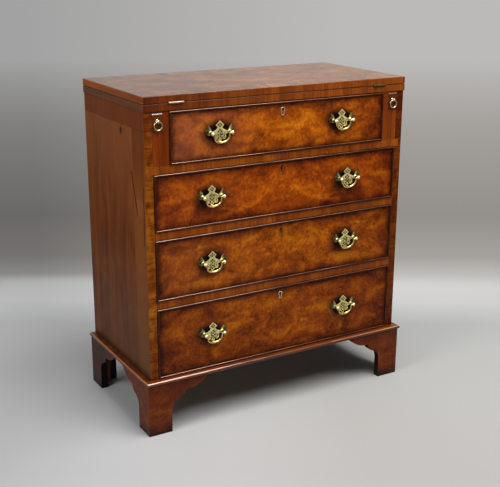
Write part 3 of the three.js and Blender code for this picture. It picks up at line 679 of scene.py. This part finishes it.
def base_moulding():
    """A half round nose of radius 5 on a fillet, carried along the left side, the front and the
    right side with mitred corners: each point is moved out by its reach from the carcass."""
    turn = np.linspace(-np.pi / 2, np.pi / 2, 22)
    reach = np.concatenate([[0.2], 11 + 5 * np.cos(turn), [0.2]])
    rise = FOOT_HEIGHT + np.concatenate([[0.02], 5 + 4.98 * np.sin(turn), [9.98]])
    side, front = CARCASS_HALF + reach, FRONT - reach
    path = [(-side, BACK), (-side, front), (side, front), (side, BACK)]
    return tube(np.stack([placed(x, y, rise) for x, y in path]))


FOOT_REACH = 12
FOOT_TOP = FOOT_HEIGHT - 0.2
FOOT_WIDTH = 60
BRACKET_SPARE = 98
BRACKET_THICKNESS = 18
SHAPED = [(0, 0.44), (0.03, 0.6, 0.2, 0.635), (0.32, 0.65, 0.36, 0.73), (0.37, 0.785), (0.76, 0.79, 0.99, 1)]
PLAIN = [(0, 0.42), (0.1, 0.6, 0.55, 1)]


def bracket(moves):
    """A bracket's outline: pairs of distance from the foot's corner and height, from shares of the
    spare length and of the height."""
    scaled = [
        (np.reshape(move, (-1, 2)) * (BRACKET_SPARE, FOOT_TOP) + (FOOT_WIDTH, 0)).ravel() for move in moves
    ]
    return np.vstack([[[0, 0]], traced((FOOT_WIDTH, 0), scaled, 12), [[0, FOOT_TOP]]])


def in_foot(sign, at_back, across, deep, rise):
    """Points in a foot, by how far they are in from its outer corner, along x and along y."""
    y = BACK - deep if at_back else FRONT - FOOT_REACH + deep
    return placed(sign * (CARCASS_HALF + FOOT_REACH - across), y, rise)


def foot_brackets(sign, at_back):
    """Two brackets that meet in a mitre: the inner outline is the outer one, moved back by the
    thickness, with its corner moved along by the same."""
    boards = []
    for moves, on_side in ((PLAIN if at_back else SHAPED, False), (SHAPED, True)):
        along, rise = bracket(moves).T
        faces = []
        for depth in (0, BRACKET_THICKNESS):
            inward = (np.maximum(along, depth), depth)
            faces.append(in_foot(sign, at_back, *(inward[::-1] if on_side else inward), rise))
        boards.append(slab(*faces))
    return boards


def glue_block(sign, at_back):
    """A pine block in the angle of a foot, with its free corner planed off."""
    across, deep = np.array([(18, 18), (40, 18), (40, 27), (27, 40), (18, 40)], float).T
    return slab(*(in_foot(sign, at_back, across, deep, z) for z in (2.5, FOOT_TOP)))


def loper_face(hand):
    """The facing on the end of a loper, a little proud of it and a little short of its top, with a
    small chamfer all round. The ring still swings clear of it."""
    low, high = corners(f"loper_{hand}")
    high[2] -= LOPER_FACE_DROP
    rings = []
    for y, cut in ((FRONT + 1.5, 0.3), (FRONT - 0.2, 0.3), (FRONT - 0.6, 0.9)):
        outline = rectangle(low[0] + cut, low[2] + cut, high[0] - cut, high[2] - cut)
        rings.append([(x, y, z) for x, z in outline])
    return tube(np.array(rings))


# ---- brass pieces ----

PLATE_HALF = (38, 26.5)
PLATE_THICKNESS = 2
PLATE_ARRIS = 0.4
PLATE_OUTLINE = [
    (0, 1), (0.29, 0.62), (0.19, 0.54, 0.17, 0.4), (0.22, 0.26, 0.34, 0.2), (0.46, 0.06, 0.56, 0.14),
    (0.62, 0.45, 0.8, 0.68), (0.89, 0.5, 0.84, 0.34), (0.94, 0.3, 1, 0.17), (0.96, -0.06, 0.84, -0.19),
    (0.74, -0.25, 0.62, -0.17), (0.48, -0.08, 0.38, -0.24), (0.46, -0.44, 0.38, -0.56),
    (0.28, -0.7, 0.18, -0.57), (0.08, -0.6, 0.09, -0.76), (0.12, -0.9, 0, -1),
]
# Diamonds cut through the plate: middle x, middle z, half width and half height
DIAMONDS = [(0, 20.6, 1.6, 2.0), (0, 13.6, 1.7, 2.1), (-4.1, 17.1, 1.6, 2.0), (4.1, 17.1, 1.6, 2.0)]
DIAMONDS += [(x, z, 2.0, 2.5) for row, z in enumerate(np.linspace(5.6, -16.2, 7))
             for x in ((0,) if row % 2 == 0 else (-4.4, 4.4))]
DIAMONDS += [(sign * 33, 2.4, 1.7, 2.3) for sign in (-1, 1)] + [(sign * 11, -8.5, 1.3, 3.4) for sign in (-1, 1)]
POST_X = 25
HEAD_Y = -14.5
HEAD_RADIUS = 4.5
EYE_Y = -5
RING_RADIUS = 9.5
KEYHOLE_DROP = 18.5  # from the top of a drawer's front to the middle of the keyhole's head


def post(x):
    """A turned post: a collar on the plate, a waist and a round head that holds the bail's pin."""
    turn = np.linspace(np.arcsin(2.5 / HEAD_RADIUS), np.pi, 14)
    head = np.stack([HEAD_RADIUS * np.sin(turn), HEAD_Y + HEAD_RADIUS * np.cos(turn)], axis=-1)
    foot = [(0, -1.5), (4.6, -1.5), (4.6, -2.9), (4.2, -3.4), (2.7, -4.3), (2.3, -7.4)]
    return turned(foot + head.tolist(), (x, 0, 0))


def backplate():
    """The pierced backplate about its middle, with its two posts. Only a filled curve gives its
    holes: it is filled, thickened and rounded, then made a mesh and stood up."""
    right = traced(PLATE_OUTLINE[0], PLATE_OUTLINE[1:], 7) * np.array(PLATE_HALF)
    rim = np.vstack([right, right[-2:0:-1] * np.array([-1, 1])])
    curve = bpy.data.curves.new("plate_outline", "CURVE")
    curve.dimensions = "2D"
    curve.fill_mode = "BOTH"
    curve.bevel_depth = PLATE_ARRIS * MM
    curve.bevel_resolution = 1
    curve.offset = -PLATE_ARRIS * MM
    curve.extrude = (PLATE_THICKNESS / 2 - PLATE_ARRIS) * MM
    diamonds = [[(x - wide, z), (x, z - tall), (x + wide, z), (x, z + tall)] for x, z, wide, tall in DIAMONDS]
    for loop in [rim] + diamonds:
        spline = curve.splines.new("POLY")
        spline.points.add(len(loop) - 1)
        spots = np.zeros((len(loop), 4))
        spots[:, :2] = np.array(loop) * MM
        spots[:, 3] = 1
        spline.points.foreach_set("co", spots.ravel())
        spline.use_cyclic_u = True
    holder = bpy.data.objects.new("plate_outline", curve)
    bpy.context.scene.collection.objects.link(holder)
    bpy.context.view_layer.update()
    mesh = bpy.data.meshes.new_from_object(holder.evaluated_get(bpy.context.evaluated_depsgraph_get()))
    bpy.data.objects.remove(holder)
    mesh.materials.clear()
    mesh.transform(Matrix.Translation((0, -PLATE_THICKNESS / 2 * MM, 0)) @ Matrix.Rotation(math.pi / 2, 4, "X"))
    work = bmesh.new()
    work.from_mesh(mesh)
    work.from_mesh(start_mesh("posts", [post(-POST_X), post(POST_X)]))
    work.to_mesh(mesh)
    work.free()
    return mesh


def bail_path():
    """The bail's middle line in its plane: a pin, a bend, a bowed grip, a bend and a pin. The grip
    is a cubic: (1-t)^3 a + 3 t (1-t)^2 b + 3 t^2 (1-t) c + t^3 d."""
    arm, bend, pin, drop = 18.3, 3, 7, 23
    right_pin = np.array([(arm + bend + pin, 0), (arm + bend + pin / 2, 0), (arm + bend, 0)])
    corner = traced((arm + bend, 0), [(arm, 0, arm, -bend)], 6)[1:]
    t = np.linspace(0, 1, 16)[1:, None]
    a, b, c, d = np.array([(arm, -bend), (1.14 * arm, -0.7 * drop), (0.72 * arm, -drop), (0, -drop)])
    grip = (1 - t) ** 3 * a + 3 * t * (1 - t) ** 2 * b + 3 * t ** 2 * (1 - t) * c + t ** 3 * d
    half = np.vstack([right_pin, corner, grip])
    return np.vstack([half * (-1, 1), half[-2::-1]])


def bail(place):
    """A rod carried along the bail's middle line, round in section; its radius grows from 1.5 at
    the pins to 2.6 at the grip's middle with the square of the depth. It leans to the plate."""
    line = bail_path()
    flow = np.gradient(line, axis=0)
    flow /= np.linalg.norm(flow, axis=1)[:, None]
    radius = 1.5 + 1.1 * (line[:, 1:] / 23) ** 2
    angle = full_turn(16)
    out, deep = radius * np.cos(angle), radius * np.sin(angle)
    x = line[:, :1] - flow[:, 1:] * out
    z = line[:, 1:] + flow[:, :1] * out
    lean = math.radians(15)
    y_leant = deep * math.cos(lean) - z * math.sin(lean)
    z_leant = deep * math.sin(lean) + z * math.cos(lean)
    return tube(placed(x, y_leant, z_leant) + place)


def nut(place):
    """A six-sided nut on a bolt's end inside the drawer: its radius is 4.6 / cos of the angle from
    the middle of the nearest flat, cut back by a chamfer at both faces."""
    angle = full_turn(48)
    flat = 4.6 / np.cos((angle + np.pi / 6) % (np.pi / 3) - np.pi / 6)
    profile = np.array([(5.4, -0.6), (5.4, 0.2), (9, 0.9), (9, 3.1), (4.7, 3.8), (0, 3.8)])
    cap, depth = profile.T[..., None]
    radius = np.minimum(flat, cap)
    rings = placed(radius * np.cos(angle), depth, radius * np.sin(angle)) + place
    return [tube(rings), turned([(0, 0), (1.9, 0), (1.9, 5.2), (1.5, 5.7), (0, 5.7)], place, 16)]


def eye(place):
    """A loper's eye: a turned rose and neck, and a knuckle whose section is a rounded square, with
    |x / 2|^4 + (r / 4.4)^4 = 1 carried round the x axis."""
    rose = turned([(0, 0.2), (5, 0.2), (5, -0.5), (4.2, -1.3), (2.4, -1.8), (1.9, -3.2), (0, -3.2)], place)
    turn = np.linspace(-np.pi / 2, np.pi / 2, 15)[:, None]
    across = 2 * np.sign(np.sin(turn)) * np.abs(np.sin(turn)) ** 0.5
    radius = 4.4 * np.abs(np.cos(turn)) ** 0.5
    angle = full_turn(28)
    rings = placed(across, radius * np.cos(angle), radius * np.sin(angle))
    return [rose, tube(rings + place + (0, EYE_Y, 0))]


def pull_ring(place):
    """A ring of round wire: a circle of radius 1.6 carried round one of radius 9.5."""
    turn = full_turn(56)[:, None]
    angle = full_turn(16)
    reach = RING_RADIUS + 1.6 * np.cos(angle)
    rings = placed(np.sin(turn) * reach, 1.6 * np.sin(angle), np.cos(turn) * reach)
    return hoop(rings + place + (0, EYE_Y, -RING_RADIUS))


def keyhole_loop(wall):
    """A keyhole's outline grown by a wall: an arc about the head, down one side of the slot and
    round its foot, always with the same number of points."""
    radius, half, length = 4 + wall, 2.2 + wall, 12 + wall
    gap = np.arcsin(half / radius)
    turn = np.linspace(gap - np.pi / 2, 1.5 * np.pi - gap, 30)
    arc = np.stack([radius * np.cos(turn), radius * np.sin(turn)], axis=-1)
    foot = np.linspace(np.pi, 2 * np.pi, 9)
    base = np.stack([half * np.cos(foot), 0.55 * half * (np.sin(foot) + 1) - length], axis=-1)
    return np.vstack([arc, base])


def keyhole_thread(z):
    """The brass thread let into a keyhole: outlines at growing walls, each at its own depth."""
    rings = []
    for wall, depth in ((0, 4), (0, -0.15), (0.25, -0.3), (1.35, -0.3), (1.6, -0.1), (1.6, 4)):
        across, up = keyhole_loop(wall).T
        rings.append(placed(across, FRONT + depth, z + up))
    return hoop(np.stack(rings))


def screw_head(place, up):
    """A countersunk screw's slotted head, facing up or down: a flat disc with a slot 0.6 wide and
    0.5 deep, as a height on a grid of radius and angle."""
    angle = full_turn(40)
    share = np.linspace(0, 1, 9)[:, None]
    x, y = 2.4 * share * np.cos(angle), 2.4 * share * np.sin(angle)
    height = np.where(np.abs(y * 0.9 + x * 0.4) < 0.34, -0.5, 0.12 * (1 - share ** 2))
    return tube(np.vstack([placed(x, y, height * up), placed(x[-1:], y[-1:], -up)]) + place)


def lock_parts(index):
    """A lock let into the back of a drawer's front: its back plate, its selvedge on the top, and
    four pins."""
    top = corners(f"drawer_{index}_front")[1][2]
    plate = rectangle(-31, top - 46, 31, top - 0.2)
    selvedge = rectangle(-31, BACK_OF_FRONT - 9, 31, BACK_OF_FRONT + 0.5)
    pin = [(0, 0), (2.2, 0), (1.9, 0.7), (0.9, 1.0), (0, 1.05)]
    return [
        slab(*([(x, y, z) for x, z in plate] for y in (BACK_OF_FRONT - 1, BACK_OF_FRONT + 0.5))),
        slab(*([(x, y, z) for x, y in selvedge] for z in (top - 1.2, top + 0.15))),
    ] + [turned(pin, (x, BACK_OF_FRONT + 0.45, z), 20) for x in (-26, 26) for z in (top - 40, top - 8)]


# ---- the studio ----

def place_camera():
    data = bpy.data.cameras.new("camera")
    data.sensor_width = SENSOR_WIDTH
    data.lens = CAMERA_FOCAL * SENSOR_WIDTH / PHOTO_WIDTH
    data.clip_end = 80
    camera = bpy.data.objects.new("camera", data)
    turn = Matrix.Rotation(-math.radians(CAMERA_YAW), 4, "Z")
    tilt = Matrix.Rotation(math.radians(90 - CAMERA_PITCH), 4, "X")
    roll = Matrix.Rotation(math.radians(CAMERA_ROLL), 4, "Z")
    camera.matrix_world = Matrix.Translation(CAMERA_PLACE) @ turn @ tilt @ roll
    bpy.context.scene.collection.objects.link(camera)
    bpy.context.scene.camera = camera


def softbox(name, place, aim, size, power):
    """A soft rectangle of light, all in metres and watts."""
    data = bpy.data.lights.new(name, "AREA")
    data.shape = "RECTANGLE"
    data.size, data.size_y = size
    data.energy = power
    lamp = bpy.data.objects.new(name, data)
    direction = Vector(aim) - Vector(place)
    lamp.matrix_world = Matrix.Translation(place) @ direction.to_track_quat("-Z", "Y").to_matrix().to_4x4()
    bpy.context.scene.collection.objects.link(lamp)


# The backdrop glows: its greys are painted light.
# The backdrop falls off behind the chest and is lit again further up: its greys by distance in metres, at the
# left and the right, matched
BACKDROP = (
    (0.72, "#a7a6a5", "#cecdc9"), (0.85, "#888786", "#bfbdb9"), (1.05, "#74716f", "#a5a29d"),
    (1.63, "#6a6866", "#93908b"), (3.8, "#807f7d", "#a4a19c"), (7.6, "#a2a2a2", "#bcbab8"),
)
BACKDROP_REACH = 20
# The lit paper's greys, from 0.5 m in front of the chest's middle to 0.7 m behind it: painted light, lighter
# towards the back
PAPER = (
    (0.0, "#9a9a9b", "#a19e9c"), (0.3, "#a8a8a9", "#a5a4a1"), (0.73, "#aaaaab", "#a8a8a6"),
    (0.9, "#b8b8b8", "#c3c2c0"), (1.0, "#b1b1b0", "#c9c8c6"),
)
PAPER_HALF = 30


def along_floor(tree, x, y):
    """From a place on the floor, as turned to the photograph: a distance in metres whose lines are
    nearly straight across the picture and square round the chest, d = (|x / 1.5|^6 + |y|^6) to the
    power 1/6, and how far it is to the right of the picture, from 0 to 1."""
    powers = []
    for along, reach in ((x, 1.5), (y, 1)):
        size = add(tree, MATH, [along], operation="ABSOLUTE")
        size = add(tree, MATH, (size, MM / reach), operation="MULTIPLY")
        powers.append(add(tree, MATH, (size, 6), operation="POWER"))
    total = add(tree, MATH, powers, operation="ADD")
    away = add(tree, MATH, (total, 1 / 6), operation="POWER")
    depth = add(tree, MATH, (add(tree, MATH, [y], operation="ABSOLUTE"), 2350), operation="ADD")
    slope = add(tree, MATH, (x, depth), operation="DIVIDE")
    return away, add(tree, RANGE, (slope, -0.23, 0.1))


def greys(tree, share, right, rows):
    """The greys of the left and of the right of the picture, by a share from 0 to 1."""
    left_grey, right_grey = (add(tree, RAMP, [share], [(row[0], row[side]) for row in rows]) for side in (1, 2))
    return layered(tree, left_grey, (right, (), right_grey))


def seen_directly(tree):
    """1 for the camera's rays and for what shows in polished or clear things."""
    path = add(tree, "ShaderNodeLightPath").node.outputs
    seen = path["Is Camera Ray"]
    for ray in ("Is Glossy Ray", "Is Transmission Ray"):
        seen = add(tree, MATH, (seen, path[ray]), operation="MAXIMUM")
    return seen


def paper_floor():
    """A sheet of matt paper: lit and shaded under the chest, then a soft edge to a glowing backdrop, painted
    light whose grey is worked out from its distance. Only the camera and reflections see that grey."""
    material, tree, place = start_material("seamless_paper")
    turned_place = add(tree, MAPPING, {"Vector": place, "Rotation": (0, 0, math.radians(CAMERA_YAW))})
    x, y, _ = add(tree, SPLIT, [turned_place]).node.outputs
    away, right = along_floor(tree, x, y)
    root = add(tree, MATH, (away, BACKDROP_REACH), operation="DIVIDE")
    root = add(tree, MATH, (root, 0.5), operation="POWER")
    far_rows = [(math.sqrt(row[0] / BACKDROP_REACH), *row[1:]) for row in BACKDROP]
    aside = add(tree, MATH, [add(tree, RANGE, (right, 0, 1, -1, 1))], operation="ABSOLUTE")
    # The paper's greys by place are painted light, with painted shade towards the picture's sides.
    pale = layered(tree, greys(tree, add(tree, RANGE, (y, -500, 700)), right, PAPER),
                   (aside, (0.3, 1, 0, 0.5), "#dedddb", SHADE))
    shader = tree.nodes["Principled BSDF"]
    fill_in(tree, shader, {"Base Color": pale, "Roughness": 0.9, "Specular IOR Level": 0.2})
    glow = add(tree, "ShaderNodeEmission", {"Color": greys(tree, root, right, far_rows), "Strength": 1})
    far = add(tree, RANGE, (away, 0.72, 0.86), interpolation_type="SMOOTHSTEP")
    far = add(tree, MATH, (far, seen_directly(tree)), operation="MULTIPLY")
    both = add(tree, "ShaderNodeMixShader", (far, shader.outputs[0], glow))
    fill_in(tree, tree.nodes["Material Output"], {"Surface": both})
    mesh = bpy.data.meshes.new("paper_floor")
    edge = [(x, y, 0) for x, y in rectangle(-PAPER_HALF, -PAPER_HALF, PAPER_HALF, PAPER_HALF)]
    mesh.from_pydata(edge, [], [(0, 1, 2, 3)])
    mesh.materials.append(material)
    floor = bpy.data.objects.new("paper_floor", mesh)
    bpy.context.scene.collection.objects.link(floor)


def light_studio():
    """A dim sky that lights, a grey that is seen, and four softboxes."""
    world = bpy.data.worlds.new("studio")
    bpy.context.scene.world = world
    world.use_nodes = True
    tree = world.node_tree
    dim = tree.nodes["Background"]
    fill_in(tree, dim, {"Color": "#e4eeff", "Strength": 0.12})
    seen = add(tree, "ShaderNodeBackground", {"Color": "#b4b3b1", "Strength": 1})
    both = add(tree, "ShaderNodeMixShader", (seen_directly(tree), dim.outputs[0], seen))
    fill_in(tree, tree.nodes["World Output"], {"Surface": both})
    softbox("key_softbox", (0.3, -1.25, 2.8), (0, 0, 0.35), (1.7, 1.8), 107)
    softbox("glint_softbox", (0.95, -0.35, 2.45), (0.2, 0, 0.4), (0.65, 0.5), 12)
    softbox("top_softbox", (0.2, 0.5, 2.9), (0.1, 0, 0.4), (2.4, 2.0), 27)
    softbox("left_softbox", (-2.4, -0.7, 2.2), (0, 0, 0.5), (1.2, 1.2), 50)


# ---- the chest put together ----

place_camera()
bpy.context.scene.view_settings.view_transform = "Standard"

bead_wood = cock_bead()
rail_wood = rail_veneer("walnut_rail_veneer", 74, 0)
# The uprights by the lopers: the left one is darkened more than the right, as painted shade.
upright_woods = {
    "left": rail_veneer("walnut_upright_veneer_left", 400, 1, (0.7, (), "#c08838", SHADE)),
    "right": rail_veneer("walnut_upright_veneer_right", 400, 1, (0.45, (), "#c89468", SHADE)),
}
loper_end_wood = loper_end()
loper_wood = solid_walnut("walnut_loper", 1, 0)
moulding_wood = solid_walnut("walnut_moulding", 0, 0.7)
foot_wood = foot_veneer()
side_wood = side_panel()
oak = plain_wood("oak_linings", 1, OAK, 0.62)
oak_bottom = plain_wood("oak_drawer_bottoms", 0, OAK, 0.64)
pine = plain_wood("pine_boards", 0, PINE, 0.7)
# The glue blocks take walnut's darkest tones and no dust: painted shade under the chest.
shade_dark_pine = plain_wood("pine_glue_blocks", 2, SOLID, 0.8, 0)
pine_back = plain_wood("pine_back_boards", 2, PINE, 0.74)
cast_brass = brass("cast_brass", "#e0c884", "#4a3c16", 0.24, 0.05)
plate_brass = brass("cast_brass_backplates", "#fff0aa", "#32280c", 0.4, 0.12, True)
thread_brass = brass("rolled_brass_threads", "#f4d2ac", "#8a6442", 0.4, 0.02)
rolled_brass = brass("rolled_brass", "#a3957a", "#453a2a", 0.4, 0.03)
# The right hinges are a darker copy of the left ones: painted shade.
hinge_brasses = {
    "left": brass("rolled_brass_hinges_left", "#8e8068", "#2e261c", 0.42, 0.04),
    "right": brass("rolled_brass_hinges_right", "#54442e", "#221a10", 0.5, 0.04),
}
ring_brass = brass("cast_brass_rings", "#c2b494", "#4a3e24", 0.26, 0.04)
iron = steel("wrought_iron")

node_materials = {
    "back_boards": pine_back,
    "bottom_board": pine,
    "fixed_top": leaf_veneer("walnut_fixed_leaf", "fixed_top"),
    "folding_top": leaf_veneer("walnut_folding_leaf", "folding_top"),
}
for number in (1, 2, 3):
    node_materials[f"divider_{number}"] = rail_wood
for hand in SIDES:
    node_materials[f"side_{hand}"] = side_wood
    node_materials[f"loper_{hand}"] = loper_wood
    for board in ("partition", "rest"):
        node_materials[f"loper_{board}_{hand}"] = upright_woods[hand]
    for leaf in ("fixed", "folding"):
        node_materials[f"hinge_{leaf}_{hand}"] = hinge_brasses[hand]
# Each drawer's tint, its amount and its painted sheen; the bottom drawer's tint is deepened as painted shade.
for index, tint, amount, left_sheen in (
    (1, "#ffe0b0", 0.1, 0.35), (2, "#f0c878", 0.5, 0.05), (3, "#f0f4bc", 0.5, 0.1), (4, "#d4c8a0", 0.85, 0.02),
):
    node_materials[f"drawer_{index}_front"] = burr_drawer(index, tint, amount, left_sheen)
    node_materials[f"drawer_{index}_frame"] = oak
    node_materials[f"drawer_{index}_panel"] = oak_bottom
for node, material in node_materials.items():
    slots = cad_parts[node].data.materials
    slots.clear()
    slots.append(material)

moulding = make_piece("base_moulding", [base_moulding()], moulding_wood, "carcass", 30)
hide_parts("base_moulding_front", "base_moulding_left", "base_moulding_right")
for hand, sign in SIDES.items():
    for end, at_back in (("front", False), ("back", True)):
        name = f"foot_{end}_{hand}"
        boards = foot_brackets(sign, at_back)
        brackets = make_piece(f"{name}_brackets", boards, foot_wood, "carcass", 35, 0.9)
        block = [glue_block(sign, at_back)]
        make_piece(f"{name}_block", block, shade_dark_pine, "carcass", 30, 0.6)
        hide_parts(name)
    body = f"loper_{hand}"
    make_piece(f"{body}_face", [loper_face(hand)], loper_end_wood, body, 20)
    spot = middle(f"{body}_ring")
    spot = (spot[0], FRONT, spot[2] + RING_RADIUS)
    ring_eye = make_piece(f"{body}_ring_eye", eye(spot), ring_brass, body, 40)
    ring = make_piece(f"{body}_pull_ring", [pull_ring(spot)], ring_brass, f"{body}_ring", 40)
    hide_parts(f"{body}_eye")
    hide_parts(f"{body}_ring")

for hand in SIDES:
    mid_x = middle(f"hinge_folding_{hand}")[0]
    for leaf, body, lift, up in (("folding", "folding_top", 0.22, -1), ("fixed", "carcass", -0.22, 1)):
        heads = [
            screw_head((mid_x + step, FRONT + (6 if step else 11), LEAF_JOINT + lift), up)
            for step in (-12, 0, 12)
        ]
        make_piece(f"hinge_screws_{leaf}_{hand}", heads, iron, body, 30)

plain_plate = backplate()
for index in DRAWERS:
    body = f"drawer_{index}"
    make_piece(f"{body}_bead", [bead_ring(index)], bead_wood, body, 30)
    make_piece(f"{body}_lock", lock_parts(index), iron, body, 30, 0.2)
    if index in (1, 4):
        thread = [keyhole_thread(corners(f"{body}_front")[1][2] - KEYHOLE_DROP)]
        thread = make_piece(f"{body}_thread", thread, thread_brass, body, 35)
        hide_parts(f"{body}_keyhole_thread")
    for hand in SIDES:
        name = f"{body}_handle_{hand}"
        spot = middle(f"{name}_plate")
        spot[1] = FRONT
        mesh = plain_plate.copy()
        mesh.transform(Matrix.Translation(spot * MM))
        plate = make_piece(f"{name}_backplate", mesh, plate_brass, body, 35)
        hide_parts(f"{name}_plate")
        grip = [bail(spot + (0, HEAD_Y, 0))]
        grip = make_piece(f"{name}_grip", grip, cast_brass, f"{body}_bail_{hand}", 50)
        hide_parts(f"{name}_bail")
        nuts = [part for x in (-POST_X, POST_X) for part in nut((spot[0] + x, BACK_OF_FRONT, spot[2]))]
        make_piece(f"{name}_nuts", nuts, rolled_brass, body, 30)

light_studio()
paper_floor()
